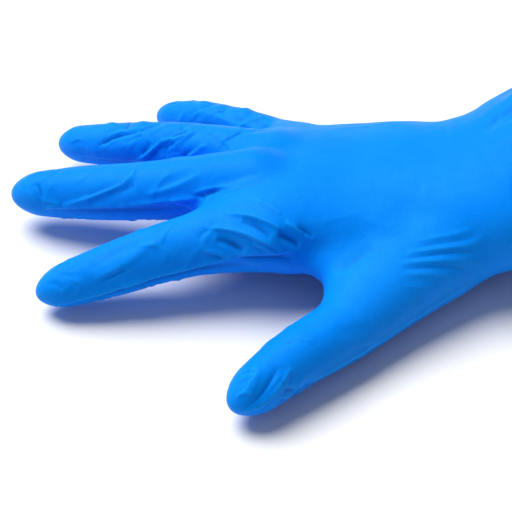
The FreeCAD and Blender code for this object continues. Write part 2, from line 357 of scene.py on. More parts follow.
# Soft parts of the hand under the film: two ends, their radii, height over width, blend.
PADS = (
    ((62.0, -30.0, -9.0), (40.0, -48.0, -12.0), 13.0, 9.0, 0.85, 10.0),
    ((46.0, -26.0, -6.0), (38.5, -46.0, -11.0), 13.0, 6.6, 0.85, 10.0),
    ((30.0, -24.0, -5.0), (36.0, -43.0, -11.0), 12.5, 6.0, 0.85, 9.0),
    ((16.0, -27.5, -7.0), (36.0, -42.0, -11.5), 8.0, 5.0, 0.9, 5.0),
    ((-15.0, -25.0, -6.5), (12.0, -28.0, -8.0), 11.4, 9.7, 1.0, 6.0),
    ((78.0, -22.0, -12.0), (52.0, -38.0, -15.0), 14.5, 12.0, 1.0, 8.0),
    ((76.0, 22.0, -14.0), (34.0, 33.0, -15.0), 13.5, 11.0, 1.0, 10.0),
)


def solid(points):
    """Distance to the glove's outside, negative inside."""
    points = np.asarray(points, float)
    field = HAND(points)
    on_hand = fade(-points[:, 0], 8.0, 18.0)
    for name, tube in TUBES.items():
        past_webs = JOIN_PAST_WEBS[name]
        blend = past_webs + (JOIN_ON_HAND - past_webs) * on_hand
        field = join(field, tube(points), blend)
    for first, second, back in WEB_LINKS:
        start, end = (DIGITS[name].points[0] + DIGITS[name].axes[0] * (FINGERS[name]["root"] - back)
                      - (0.0, 0.0, WEB_DROP) for name in (first, second))
        field = join(field, round_cone(points, start, end, WEB_RADIUS, WEB_RADIUS), WEB_JOIN)
    for start, end, first, last, flat, blend in PADS:
        pad = round_cone(points, np.array(start), np.array(end), first, last, flat)
        field = join(field, pad, blend)
    return join(field, THUMB_TUBE(points), THUMB_JOIN)


# --- the surface ------------------------------------------------------------------------------

def sample_field(low, high, spacing):
    """The solid's field on a grid, fine near the surface and copied from a coarse one elsewhere."""
    fine = 4
    blocks = np.ceil((high - low) / (spacing * fine)).astype(int)
    axes = [low[i] + spacing * fine * (np.arange(blocks[i]) + 0.5) for i in range(3)]
    centres = np.stack(np.meshgrid(*axes, indexing="ij"), axis=-1)
    coarse = in_chunks(solid, centres.reshape(-1, 3)).reshape(blocks)
    field = coarse.astype(np.float32).repeat(fine, 0).repeat(fine, 1).repeat(fine, 2)
    near = np.argwhere(np.abs(coarse) < spacing * fine * 1.6)
    step = np.stack(np.meshgrid(*[np.arange(fine)] * 3, indexing="ij"), axis=-1).reshape(-1, 3)
    cells = (near[:, None, :] * fine + step[None]).reshape(-1, 3)
    values = in_chunks(solid, low + spacing * (cells + 0.5))
    field[cells[:, 0], cells[:, 1], cells[:, 2]] = values
    return field


def in_chunks(function, points, size=200000):
    """A function of many points, worked out a part at a time to save memory."""
    return np.concatenate([function(points[i:i + size]) for i in range(0, len(points), size)])


def surface_net(field):
    """Vertices, in grid steps, and quads of the surface where the field changes sign."""
    shape = np.array(field.shape)
    stride = np.array((shape[1] * shape[2], shape[2], 1))
    ids, corners, quads = [], [], []
    for axis in range(3):
        u, v = (axis + 1) % 3, (axis + 2) % 3
        low = [slice(1, -1)] * 3
        high = list(low)
        low[axis], high[axis] = slice(1, -2), slice(2, -1)
        first, second = field[tuple(low)], field[tuple(high)]
        edge = np.argwhere((first < 0) != (second < 0))
        a = first[tuple(edge.T)].astype(float)
        b = second[tuple(edge.T)].astype(float)
        edge = edge + 1
        place = edge.astype(float)
        place[:, axis] += a / (a - b)
        around = []
        for du, dv in ((0, 0), (1, 0), (1, 1), (0, 1)):
            cell = edge @ stride - du * stride[u] - dv * stride[v]
            ids.append(cell)
            corners.append(place)
            around.append(cell)
        quad = np.stack(around, axis=1)
        quads.append(np.where((a < 0)[:, None], quad, quad[:, ::-1]))
    ids, corners, quads = map(np.concatenate, (ids, corners, quads))
    cells, index = np.unique(ids, return_inverse=True)
    count = np.bincount(index)
    vertices = np.stack([np.bincount(index, corners[:, i]) for i in range(3)], axis=1)
    return vertices / count[:, None], np.searchsorted(cells, quads)


def slope(points, step=0.05):
    """Gradient of the solid's field."""
    signs = np.array(((1, -1, -1), (-1, -1, 1), (-1, 1, -1), (1, 1, 1)), float)
    return sum(s * solid(points + s * step)[:, None] for s in signs) / (4.0 * step)


def settle(vertices, quads, rounds=5):
    """Evens out the quads over the surface and puts each vertex on it."""
    pairs = np.concatenate([quads[:, (i, (i + 1) % 4)] for i in range(4)])
    pairs = np.concatenate((pairs, pairs[:, ::-1]))
    count = np.bincount(pairs[:, 0], minlength=len(vertices))[:, None]
    for _ in range(rounds):
        total = np.stack([np.bincount(pairs[:, 0], vertices[pairs[:, 1], i], len(vertices))
                          for i in range(3)], axis=1)
        vertices = vertices + 0.5 * (total / count - vertices)
        vertices = onto_surface(vertices)
    return onto_surface(vertices)


def onto_surface(vertices):
    """The vertices, moved along the field's gradient to where it is zero."""
    gradient = in_chunks(slope, vertices)
    size = np.einsum("ij,ij->i", gradient, gradient)[:, None]
    return vertices - gradient * in_chunks(solid, vertices)[:, None] / np.maximum(size, 0.05)


# --- wrinkles ---------------------------------------------------------------------------------

class Chart:
    """Flat coordinates in mm about a line: distance along it and way round it."""

    def __init__(self, along, angle, radius):
        self.along, self.angle, self.radius = along, angle, radius
        self.height = np.zeros(len(along))

    def stroke(self, first, last, bow, width, height, lean=0.0):
        """Adds a ridge, or a groove where height is negative, between two places.

        A place is a distance along and an angle round. bow pushes the middle sideways. lean from
        -1 to 1 makes one flank steep and the other one long.
        """
        middle = 0.5 * (first[1] + last[1])
        turn = (self.angle - middle + 180.0) % 360.0 - 180.0
        scale = np.radians(1.0) * self.radius
        reach = 5.0 * width + abs(bow)
        low, high = sorted((first[0], last[0]))
        near = np.flatnonzero((self.along > low - reach) & (self.along < high + reach)
                              & (np.abs(turn) * scale < reach
                                 + 0.5 * abs(last[1] - first[1]) * scale))
        if not len(near):
            return
        place = np.column_stack((self.along[near], turn[near] * scale[near]))
        local = float(np.median(scale[near]))
        a = np.array((first[0], (first[1] - middle) * local))
        b = np.array((last[0], (last[1] - middle) * local))
        way = b - a
        side = np.array((-way[1], way[0])) / np.linalg.norm(way)
        control = 0.5 * (a + b) + 2.0 * bow * side
        share = np.linspace(0.0, 1.0, 17)[:, None]
        line = (1 - share) ** 2 * a + 2 * share * (1 - share) * control + share ** 2 * b
        best = np.full(len(near), np.inf)
        along, offset = np.zeros(len(near)), np.zeros(len(near))
        for i in range(16):
            run = line[i + 1] - line[i]
            gap = place - line[i]
            t = np.clip(gap @ run / (run @ run), 0.0, 1.0)
            gap = gap - t[:, None] * run
            distance = np.hypot(gap[:, 0], gap[:, 1])
            signed = np.sign(run[0] * gap[:, 1] - run[1] * gap[:, 0]) * distance
            closer = distance < best
            best = np.where(closer, distance, best)
            along = np.where(closer, (i + t) / 16.0, along)
            offset = np.where(closer, signed, offset)
        flank = width * (1.0 + lean * np.sign(offset))
        flat = best / np.maximum(flank, 0.35 * width)
        sharp = 0.5 * min(max((2.0 - width) / 0.8, 0.0), 1.0)
        profile = (1.0 - sharp) * np.exp(-flat ** 2) + sharp * np.exp(-1.7 * flat)
        taper = np.sqrt(np.clip(4.0 * along * (1.0 - along), 0.0, 1.0))
        self.height[near] += height * profile * taper

    def lay(self, folds):
        """Adds the strokes of a table: both places, bow, width, height and lean in one row."""
        for row in folds:
            self.stroke(row[:2], row[2:4], *row[4:])

    def scatter(self, rng, count, along, angle, slant, length, width, height):
        """Adds strokes at random places, all slanting about the same way."""
        for _ in range(count):
            centre = rng.uniform(*along), rng.uniform(*angle)
            way = math.radians(rng.uniform(*slant))
            half = 0.5 * rng.uniform(*length)
            around = half * math.sin(way) / (np.radians(1.0) * float(np.median(self.radius)))
            step = half * math.cos(way)
            self.stroke((centre[0] - step, centre[1] - around),
                        (centre[0] + step, centre[1] + around), rng.uniform(-1.5, 1.5),
                        rng.uniform(*width), rng.uniform(*height), rng.uniform(-0.5, 0.5))


# Listed folds of each digit: start and end as distance from the knuckle and angle from its
# top towards the thumb, bow, width, height and lean.
FOLDS = {
    "index": (
        (86, 101, 46, 92, 0.0, 1.25, 1.6, 0.3), (56, 93, 12, 83, -0.8, 1.25, 1.6, 0.3),
        (82, 112, 6, 102, 0.0, 2.6, -1.7, 0.0), (66, 32, 41, 0, 0.8, 3.0, -0.8, 0.2),
        (60, 54, 36, 16, -1.0, 2.2, 0.6, 0.2), (46, 20, 36, 48, 1.0, 1.3, 0.5, 0.3),
        (63, 70, 52, 60, 0.5, 1.0, -0.55, 0.2), (66, 62, 54, 52, 0.5, 1.2, 0.4, 0.2),
        (78, 20, 72, 48, 1.0, 1.6, -0.45, 0.0), (84, 30, 77, 66, 1.0, 1.3, -0.4, 0.0),
        (74, 40, 69, 76, 1.0, 1.3, 0.4, 0.0), (40, 30, 30, 66, 1.2, 2.2, -0.3, 0.2),
        (20, 26, -7, 84, 1.2, 1.1, 1.25, 0.3), (17, 48, 8, 76, 0.5, 2.0, -1.3, 0.2),
        (11, 12, -9, 60, 1.0, 1.1, 1.05, 0.3), (6, 32, -3, 62, 0.6, 1.8, -1.15, 0.2),
        (-1, 0, -9, 36, 0.4, 0.9, 0.6, 0.3), (-6, 60, -13, 82, 0.3, 1.8, -1.4, 0.2),
        (23, 62, 12, 86, 0.5, 1.0, 0.9, 0.3), (4, 64, -5, 88, 0.4, 1.0, 1.0, 0.3),
        (14, 80, -12, 87, 0.6, 1.2, 1.1, 0.3), (10, 88, -10, 96, 0.4, 1.6, -1.2, 0.2),
        (-10, 48, -15, 70, 0.3, 1.0, 0.8, 0.2), (-14, 58, -19, 76, 0.2, 1.2, -0.8, 0.2),
        (24, 40, 16, 24, 0.5, 1.3, -0.5, 0.2),
    ),
    "middle": (
        (86, 85, 50, 83, 0.3, 1.2, 1.3, 0.3), (54, 83, 18, 74, 0.6, 1.2, 1.3, 0.3),
        (82, 97, 24, 92, 0.0, 2.4, -1.2, 0.0), (77, 74, 50, 30, -1.0, 1.4, 1.0, -0.45),
        (52, 34, 47, 2, -0.6, 1.4, 0.8, -0.4), (66, 62, 46, 34, -0.8, 2.4, -0.8, 0.0),
        (42, 58, 18, 26, -1.2, 1.5, 0.6, -0.3), (38, 44, 22, 18, -0.8, 2.2, -0.45, 0.0),
        (89, 20, 86, 62, 0.8, 1.2, -0.7, 0.0), (84, 14, 82, 44, 0.8, 1.4, 0.45, 0.0),
        (86, 70, 78, 76, 0.4, 0.9, 0.6, 0.2), (84, 88, 79, 80, 0.4, 0.9, 0.5, 0.2),
        (93, 40, 88, 76, 0.6, 1.1, 0.4, 0.0), (22, 64, 6, 56, 0.5, 0.9, 0.75, 0.3),
        (22, 76, 10, 62, 0.5, 1.3, -0.8, 0.2), (16, 72, 4, 66, 0.4, 1.0, 0.5, 0.2),
        (31, 78, 23, 96, 0.5, 1.0, 0.5, 0.2), (9, 52, -6, 40, 0.6, 1.5, -0.4, 0.2),
    ),
    "ring": (
        (73, -30, 68, 12, 0.6, 2.0, 0.8, 0.0), (64, -35, 62, 14, 0.4, 1.7, -0.9, 0.0),
        (58, -35, 55, 12, 0.4, 2.2, 0.7, 0.0), (72, 48, 56, 18, 0.8, 1.1, -0.95, 0.3),
        (70, 30, 57, 4, 0.6, 1.2, 0.6, -0.2), (74, 56, 68, 44, 0.3, 1.0, -0.5, 0.2),
        (59, 96, 44, 34, -1.0, 1.2, 1.0, -0.4), (45, 36, 33, 8, -0.6, 1.2, 0.85, -0.4),
        (53, 82, 40, 36, -1.0, 1.9, -0.85, 0.0), (41, 30, 35, 10, 0.3, 1.3, -0.8, 0.2),
        (50, 22, 44, -6, 0.4, 1.3, 0.6, 0.2), (47, 66, 36, 30, -0.6, 1.2, 0.5, -0.3),
        (36, 74, 28, 44, 0.6, 1.1, -0.8, 0.2), (33, 66, 25, 36, 0.6, 1.1, 0.7, -0.2),
        (26, 66, 15, 44, 0.5, 1.0, 0.7, 0.3), (24, 56, 10, 46, 0.5, 1.2, -0.7, 0.2),
        (20, 20, 14, 44, 0.5, 1.1, 0.5, 0.2), (26, 8, 20, 34, 0.5, 1.4, -0.5, 0.2),
        (80, 62, 74, 90, 0.5, 1.5, 0.4, 0.0), (84, 100, 50, 104, 0.0, 2.4, -0.7, 0.0),
        (84, 92, 60, 94, 0.0, 0.9, 0.6, 0.4),
    ),
    "little": (
        (30, -50, 27, 20, 0.5, 2.2, 0.7, 0.0), (37, -40, 36, 20, 0.4, 2.0, -0.5, 0.0),
        (50, -30, 47, 40, 0.4, 2.4, 0.6, 0.0), (48, 66, 34, 60, 0.5, 1.4, -0.7, 0.2),
        (44, 30, 28, 44, 0.8, 1.4, 0.5, 0.2), (60, 10, 56, 50, 0.5, 1.6, -0.35, 0.0),
        (24, 30, 10, 48, 0.6, 1.2, 0.5, 0.2), (20, 10, 8, 34, 0.6, 1.5, -0.4, 0.2),
    ),
    "thumb": (
        (76, 102, 48, 95, 0.4, 1.25, 1.4, 0.3), (54, 95, 18, 98, -0.6, 1.25, 1.3, 0.3),
        (24, 99, -2, 96, 0.3, 1.25, 0.9, 0.3), (84, 113, 18, 109, 0.0, 2.8, -1.6, 0.0),
        (101, 66, 84, 24, -0.3, 1.3, -0.85, 0.3), (102, 84, 80, 40, -0.4, 1.2, 0.85, -0.3),
        (100, 44, 90, 10, 0.3, 1.2, 0.5, 0.2), (96, 10, 88, -10, 0.6, 1.4, 0.45, 0.0),
        (95, -24, 92, 2, 0.5, 0.8, -0.5, 0.2), (99, -10, 94, 14, 0.5, 0.8, -0.4, 0.2),
        (102, 10, 97, 44, 0.6, 1.0, 0.5, 0.2), (87, 74, 82, 98, 0.5, 1.2, -0.8, 0.2),
        (90, 84, 85, 104, 0.5, 1.0, 0.6, 0.2), (76, -6, 71, 20, 0.5, 1.1, -0.45, 0.2),
        (74, 4, 68, 28, 0.5, 1.3, 0.3, 0.2), (70, -10, 58, 14, 1.0, 2.4, -0.35, 0.0),
        (60, 40, 44, 62, 1.0, 2.4, -0.3, 0.0), (80, 88, 76, 70, 0.4, 0.9, 0.5, 0.2),
        (50, 76, 44, 90, 0.3, 0.9, 0.5, 0.2),
    ),
}
# Small slack folds over the top of each digit: how many, the range along it, about it from its
# top towards the thumb, of their slant, and the most they stand in or out.
SLACK = {
    "index": (9, (18, 84), (0, 80), (15, 60), 0.45),
    "middle": (8, (14, 84), (0, 80), (15, 60), 0.45),
    "ring": (24, (16, 70), (-10, 80), (25, 60), 0.8),
    "little": (14, (12, 62), (-20, 70), (25, 70), 0.65),
    "thumb": (9, (80, 102), (-20, 85), (15, 60), 0.5),
}
# On the back of the hand, in the layout's X and Y: tension lines at the thumb's root, the dip at
# the web and long faint lines on the little finger's side.
BACK_FOLDS = (
    (60, -36.5, 81, -31.5, -0.4, 1.1, 0.42, 0.0), (57, -41.5, 87, -33.5, -0.6, 1.2, 0.62, 0.0),
    (54, -46.0, 88, -36.5, -0.7, 1.2, 0.62, 0.0), (55, -50.0, 84, -41.0, -0.7, 1.1, 0.5, 0.0),
    (56, -53.5, 76, -46.5, -0.5, 1.1, 0.4, 0.0), (60, -39.0, 84, -32.5, -0.5, 1.0, -0.3, 0.0),
    (56, -43.8, 86, -35.0, -0.6, 1.0, -0.4, 0.0), (55, -48.0, 85, -38.8, -0.6, 1.0, -0.4, 0.0),
    (44, -38.0, 30, -46.0, 0.6, 2.4, -0.6, 0.0), (46, 33.0, 88, 38.0, 0.8, 1.1, -0.35, 0.0),
    (30, 30.0, 70, 33.0, 0.6, 1.2, 0.3, 0.0), (12, 14.0, -12, 10.0, 0.6, 1.6, -0.35, 0.0),
    (6, 28.0, -14, 24.0, 0.6, 1.6, -0.45, 0.0), (4, -12.0, -16, -14.0, 0.6, 1.8, -0.4, 0.0),
)
# On the palm: the hand's own creases showing through, and slack film between them.
PALM_FOLDS = (
    (74, 2.0, 12, -32.0, -9.0, 2.0, -0.9, 0.2), (28, 40.0, -3, -12.0, -4.0, 2.0, -0.8, 0.2),
    (40, 38.0, 16, -34.0, -6.0, 1.8, -0.8, 0.2), (60, 22.0, 46, 6.0, 1.0, 1.5, 0.5, 0.0),
    (52, 28.0, 36, 16.0, 1.0, 1.5, 0.5, 0.0), (68, 10.0, 56, -4.0, 1.0, 1.4, -0.5, 0.0),
    (24, 20.0, 12, 2.0, 1.0, 1.4, 0.45, 0.0), (16, 30.0, 8, 16.0, 1.0, 1.4, 0.45, 0.0),
    (50, -20.0, 30, -30.0, 1.5, 1.6, 0.5, 0.0),
)


def digit_wrinkles(name, digit, vertices, rng):
    """Height of one digit's folds at each vertex."""
    along, angle, radius, distance = digit.chart(vertices)
    share = fade(distance, 1.35 * radius, 1.7 * radius) * fade(-along, 18.0, 26.0)
    mine = share > 0.0
    chart = Chart(along[mine], angle[mine], radius[mine])
    chart.lay(FOLDS[name])
    pip, dip, end = digit.starts[1:4]
    # The grooves and small folds on the underside and outer side of each joint.
    for joint, size in ((pip, 1.0), (dip, 0.8)):
        if name == "thumb" and joint == pip:
            continue
        for step in (-3.2, 0.0, 3.0):
            chart.stroke((joint + step, 125), (joint + step + 0.8, 235), 0.8, 1.1, -0.5 * size)
        chart.scatter(rng, 7, (joint - 8, joint + 8), (120, 240), (50, 130), (6, 12), (0.9, 1.5),
                      (-0.4, 0.5))
        chart.scatter(rng, 6, (joint - 8, joint + 8), (-110, -30), (-70, -20), (6, 12),
                      (0.9, 1.5), (-0.4, 0.5))
    chart.scatter(rng, 5, (end - 8, end + 3), (0, 360), (20, 160), (4, 9), (0.9, 1.3), (-0.3, 0.3))
    chart.scatter(rng, 9, (4, pip - 4), (130, 320), (-35, 35), (10, 22), (1.2, 2.2), (-0.45, 0.45))
    count, reach, about, slant, most = SLACK[name]
    chart.scatter(rng, count, reach, about, slant, (6, 15), (0.9, 1.6), (-most, most))
    chart.scatter(rng, 7, (end - 9, end + 2), (-40, 100), (10, 60), (4, 8), (0.8, 1.1),
                  (-0.4, 0.35))
    chart.stroke((end, 200), (pip, 215), 1.0, 1.0, 0.7, -0.4)
    chart.stroke((end - 4, 250), (12, 262), -1.0, 1.0, 0.6, 0.3)
    height = np.zeros(len(vertices))
    height[mine] = chart.height * share[mine]
    return height


def hand_wrinkles(vertices, normals, rng):
    """Height of the folds on the back, in the palm and on the wrist and cuff."""
    height = np.zeros(len(vertices))
    flat = np.full(len(vertices), np.degrees(1.0))
    for folds, up in ((BACK_FOLDS, normals[:, 2]), (PALM_FOLDS, -normals[:, 2])):
        chart = Chart(vertices[:, 0], vertices[:, 1], flat)
        chart.lay(folds)
        height += chart.height * fade(-up, -0.35, 0.0)
    return height + cuff_wrinkles(vertices, rng)


def around_cuff(vertices):
    """Distance along the cuff from the wrist and angle about it from its top, in degrees."""
    offset = vertices - np.array(WRIST)
    return offset @ CUFF_AXIS, np.degrees(np.arctan2(offset @ CUFF_SIDE, offset @ CUFF_UP))


def slack(along, angle):
    """How far the loose cuff stands in or out, in mm."""
    phase = np.radians(angle)
    waves = (0.75 * np.sin(3.0 * phase + 1.1 + 0.012 * along)
             + 0.55 * np.sin(5.0 * phase + 0.4 + 0.02 * along)
             + 0.35 * np.sin(9.0 * phase + 2.0 - 0.03 * along)
             + 0.2 * np.sin(14.0 * phase + 4.0 + 0.05 * along))
    return waves * fade(-along, -16.0, 6.0)


def cuff_wrinkles(vertices, rng):
    """Slack folds of the wrist and the cuff; the small ones end before the bead."""
    along, angle = around_cuff(vertices)
    chart = Chart(along, angle, np.full(len(vertices), CUFF_RADIUS))
    chart.scatter(rng, 9, (-8, 14), (-60, 60), (65, 115), (14, 34), (1.3, 2.2), (-0.5, 0.6))
    chart.scatter(rng, 12, (-6, 22), (60, 300), (55, 125), (12, 30), (1.3, 2.4), (-0.5, 0.6))
    chart.scatter(rng, 16, (14, 50), (0, 360), (-30, 30), (16, 34), (1.6, 3.0), (-0.6, 0.8))
    small = chart.height * fade(-along, 0.0, 20.0)
    return small * fade(along, CUFF_LENGTH - 12.0, CUFF_LENGTH - 2.0) + slack(along, angle)


def displace(vertices):
    """The film with its wrinkles, and how deep in a fold each vertex lies."""
    normals = in_chunks(slope, vertices)
    normals /= np.linalg.norm(normals, axis=1)[:, None]
    rng = np.random.default_rng(7)
    height = hand_wrinkles(vertices, normals, rng)
    for name, digit in ALL_DIGITS.items():
        height += digit_wrinkles(name, digit, vertices, rng)
    return vertices + normals * height[:, None], height


# --- dividing the film ------------------------------------------------------------------------

# How far past the CAD's root fold each finger's film is divided, in mm, to keep the webs on the hand's pieces.
ROOT_SHIFT = {"index": 0.0, "middle": 1.5, "ring": 4.5, "little": 2.0}


def digit_planes():
    """For each digit, the planes that divide it, as a point and a normal, in order."""
    planes = {}
    for name, digit in DIGITS.items():
        root = FINGERS[name]["root"] + ROOT_SHIFT[name]
        axis = digit.axes[0]
        rows = [(digit.points[0] + axis * root, axis),
                (digit.points[0] + axis * (root + ROOT_BAND), axis)]
        for joint, share in ((1, PIP_REACH), (2, DIP_REACH)):
            start, end = digit.ends(joint, share * digit.radii[joint])
            rows += [(start, unit(end - start)), (end, unit(end - start))]
        planes[name] = rows
    rows = []
    for joint in (1, 2):
        start, end = THUMB.ends(joint, THUMB_REACH * THUMB.radii[joint])
        rows += [(start, unit(end - start)), (end, unit(end - start))]
    planes["thumb"] = rows
    return planes


PLANES = digit_planes()
FINGER_STRETCHES = ("root_band", "proximal_tube", "pip_band", "middle_tube", "dip_band",
                    "fingertip")
THUMB_STRETCHES = ("mcp_band", "proximal_tube", "ip_band", "tip")
WRIST_START = np.array((PALM_END, WRIST[1], WRIST[2]))
WRIST_END = np.array(WRIST) + CUFF_AXIS * WRIST_REACH
FOLD_START, FOLD_END = (FOLD_POINT + FOLD_NORMAL * d for d in (-FOLD_REACH, FOLD_REACH))
ROOT_START = np.append(ROOT_LINE[0], 0.0)
ROOT_END = ROOT_START + ROOT_NORMAL * THUMB_ROOT_BAND
CUFF_END = np.array(WRIST) + CUFF_AXIS * CUFF_LENGTH


def past(points, plane_point, normal):
    """How far each point lies beyond a plane."""
    return (points - plane_point) @ normal


# The share of the thumb's first band, from its first plane, at which attach() starts that band's span; how far
# before its first plane, and how many radii from its line, a digit still takes film as its own.
WEB_HOLD, OWN_BEFORE, OWN_RADII = 0.45, 3.0, 1.9


def owner(points):
    """Name of the digit that each point belongs to, or an empty string on the hand."""
    names = np.full(len(points), "", dtype=object)
    best = np.full(len(points), np.inf)
    for name, digit in ALL_DIGITS.items():
        first_point, first_normal = PLANES[name][0]
        _, _, radius, distance = digit.chart(points)
        mine = past(points, first_point, first_normal) > -OWN_BEFORE
        mine &= distance < OWN_RADII * radius
        if name == "thumb":
            mine &= past(points, ROOT_END, ROOT_NORMAL) > 0
        closer = distance < best
        names[closer] = ""
        names[closer & mine] = name
        best[closer] = distance[closer]
    return names


def zones(points, names):
    """Name of the node that each point belongs to."""
    out = np.full(len(points), "palm", dtype=object)
    beyond_root = past(points, ROOT_START, ROOT_NORMAL) > 0
    thumb_side = beyond_root & (names != "index")
    out[thumb_side] = "thumb_root_band"
    out[thumb_side & (past(points, ROOT_END, ROOT_NORMAL) > 0)] = "thumb_base"
    fold_start = past(points, FOLD_START, FOLD_NORMAL)
    knuckles = (fold_start > 0) & ~thumb_side
    out[knuckles] = "knuckle_band"
    out[knuckles & (past(points, FOLD_END, FOLD_NORMAL) > 0)] = "finger_webs"
    normal = unit(WRIST_END - WRIST_START)
    wrist = past(points, WRIST_START, normal) > 0
    out[wrist] = "wrist_band"
    out[wrist & (past(points, WRIST_END, normal) > 0)] = "cuff_sleeve"
    for name, rows in PLANES.items():
        stretches = THUMB_STRETCHES if name == "thumb" else FINGER_STRETCHES
        for (point, axis), stretch in zip(rows, stretches):
            out[(names == name) & (past(points, point, axis) > 0)] = name + "_" + stretch
    out[past(points, CUFF_END, CUFF_AXIS) > 0] = "offcut"
    return out


def cuts():
    """Every plane that divides the film: point, normal and the digit it is limited to."""
    normal = unit(WRIST_END - WRIST_START)
    rows = [(WRIST_START, normal, None), (WRIST_END, normal, None), (CUFF_END, CUFF_AXIS, None),
            (ROOT_START, ROOT_NORMAL, "hand"), (ROOT_END, ROOT_NORMAL, "hand"),
            (FOLD_START, FOLD_NORMAL, "hand"), (FOLD_END, FOLD_NORMAL, "hand")]
    for name, planes in PLANES.items():
        rows += [(point, axis, name) for point, axis in planes]
    return rows


def cut_film(vertices, quads, normals, fold_shade_and_highlight):
    """Cuts the film along every plane; returns its vertices, normals, painted fold shade and highlight values and
    faces.
    """
    mesh = bpy.data.meshes.new("film")
    mesh.from_pydata(vertices.tolist(), [], quads.tolist())
    attribute = mesh.attributes.new("film_normal", "FLOAT_VECTOR", "POINT")
    attribute.data.foreach_set("vector", normals.astype(np.float32).ravel())
    attribute = mesh.attributes.new("fold_shade_and_highlight", "FLOAT", "POINT")
    attribute.data.foreach_set("value", fold_shade_and_highlight.astype(np.float32))
    film = bmesh.new()
    film.from_mesh(mesh)
    for point, normal, digit in cuts():
        film.faces.ensure_lookup_table()
        centres = np.array([f.calc_center_median() for f in film.faces])
        near = np.abs(past(centres, point, normal)) < 3.0 * GRID
        picked = np.flatnonzero(near)
        if digit:
            names = owner(centres[picked])
            picked = picked[(names != "index") if digit == "hand" else (names == digit)]
        faces = [film.faces[i] for i in picked]
        edges = {e for f in faces for e in f.edges}
        verts = {v for f in faces for v in f.verts}
        bmesh.ops.bisect_plane(film, geom=faces + list(edges) + list(verts), dist=1e-4,
                               plane_co=point, plane_no=normal)
    film.to_mesh(mesh)
    film.free()
    rows = []
    for data, key, width in ((mesh.vertices, "co", 3),
                             (mesh.attributes["film_normal"].data, "vector", 3),
                             (mesh.attributes["fold_shade_and_highlight"].data, "value", 1)):
        values = np.zeros(len(data) * width, np.float32)
        data.foreach_get(key, values)
        rows.append(values.reshape(-1, width).astype(float))
    faces = [tuple(p.vertices) for p in mesh.polygons]
    bpy.data.meshes.remove(mesh)
    return rows[0], rows[1], rows[2][:, 0], faces


def vertex_normals(vertices, quads):
    """Unit normals at the vertices, from the quads around them."""
    a, b, c, d = (vertices[quads[:, i]] for i in range(4))
    face = np.cross(c - a, d - b)
    total = np.stack([sum(np.bincount(quads[:, k], face[:, i], len(vertices)) for k in range(4))
                      for i in range(3)], axis=1)
    return total / np.linalg.norm(total, axis=1)[:, None]


def hollows(vertices, quads, normals):
    """How far each vertex lies in a fold, from -1 on a sharp ridge to 1, for the painted shade and highlight."""
    pairs = np.concatenate([quads[:, (i, (i + 1) % 4)] for i in range(4)])
    value = np.zeros(len(vertices))
    count = np.bincount(pairs.ravel(), minlength=len(vertices))
    for a, b in (pairs.T, pairs.T[::-1]):
        bend = np.einsum("ij,ij->i", vertices[b] - vertices[a], normals[a])
        value += np.bincount(a, bend, len(vertices))
    value /= count
    for _ in range(2):
        total = sum(np.bincount(a, value[b], len(vertices)) for a, b in (pairs.T, pairs.T[::-1]))
        value = 0.5 * value + 0.5 * total / count
    return np.clip(value / FULL_BEND, -1.0, 1.0)


def film_piece(name, vertices, normals, fold_shade_and_highlight, faces):
    """An object of double-walled film from the outside's faces."""
    used = sorted({v for face in faces for v in face})
    place = {v: i for i, v in enumerate(used)}
    outside = vertices[used]
    normal = normals[used] / np.linalg.norm(normals[used], axis=1)[:, None]
    count = len(used)
    top = [tuple(place[v] for v in face) for face in faces]
    under = [tuple(count + i for i in reversed(face)) for face in top]
    edges = {}
    for face in top:
        for a, b in zip(face, face[1:] + face[:1]):
            edges[(a, b)] = True
    rim = [(b, a, a + count, b + count) for a, b in edges if (b, a) not in edges]
    both = np.concatenate((outside, outside - normal * FILM))
    mesh = bpy.data.meshes.new(name)
    mesh.from_pydata(((both - ORIGIN) / 1000.0).tolist(), [], top + under + rim)
    mesh.polygons.foreach_set("use_smooth", [True] * len(mesh.polygons))
    mesh.normals_split_custom_set_from_vertices(np.concatenate((normal, -normal)).tolist())
    # Painted shade in folds and painted highlight on ridges, per vertex, for the material.
    attribute = mesh.attributes.new("fold_shade_and_highlight", "FLOAT", "POINT")
    attribute.data.foreach_set("value", np.tile(fold_shade_and_highlight[used], 2))
    return linked(name, mesh)


def row_point(point):
    """A point of the layout in Blender's metres."""
    return tuple((np.asarray(point) - ORIGIN) / 1000.0)


# --- materials --------------------------------------------------------------------------------

def noise(tree, place, scale, detail, roughness=0.5):
    """A noise texture's output; scale is in features per metre."""
    node = tree.nodes.new("ShaderNodeTexNoise")
    node.inputs["Scale"].default_value = scale
    node.inputs["Detail"].default_value = detail
    node.inputs["Roughness"].default_value = roughness
    tree.links.new(place, node.inputs["Vector"])
    return node.outputs["Fac"]


def spread(tree, value, low, high, from_low=0.0, from_high=1.0):
    """A value between from_low and from_high, stretched to lie between low and high."""
    node = tree.nodes.new("ShaderNodeMapRange")
    for key, number in (("From Min", from_low), ("From Max", from_high), ("To Min", low),
                        ("To Max", high)):
        node.inputs[key].default_value = number
    tree.links.new(value, node.inputs["Value"])
    return node.outputs["Result"]


def mixed(tree, factor, first, second):
    """A colour, or a colour socket, mixed with a second colour."""
    node = tree.nodes.new("ShaderNodeMix")
    node.data_type = "RGBA"
    tree.links.new(factor, node.inputs["Factor"])
    if isinstance(first, tuple):
        node.inputs[6].default_value = first
    else:
        tree.links.new(first, node.inputs[6])
    node.inputs[7].default_value = second
    return node.outputs[2]


# The film's linear colours: two broad tones, specks, painted shade for the bottoms of creases and a painted
# highlight for tight ridges.
DEEP_AZURE, LIGHT_AZURE = (0.0008, 0.242, 0.94, 1.0), (0.004, 0.268, 0.98, 1.0)
SPECK = (0.0004, 0.212, 0.88, 1.0)
PAINTED_CREASE_SHADE, PAINTED_RIDGE_HIGHLIGHT = (0.0, 0.06, 0.36, 1.0), (0.012, 0.37, 1.0, 1.0)
SPECULAR_TINT = (0.15, 0.6, 1.0, 1.0)


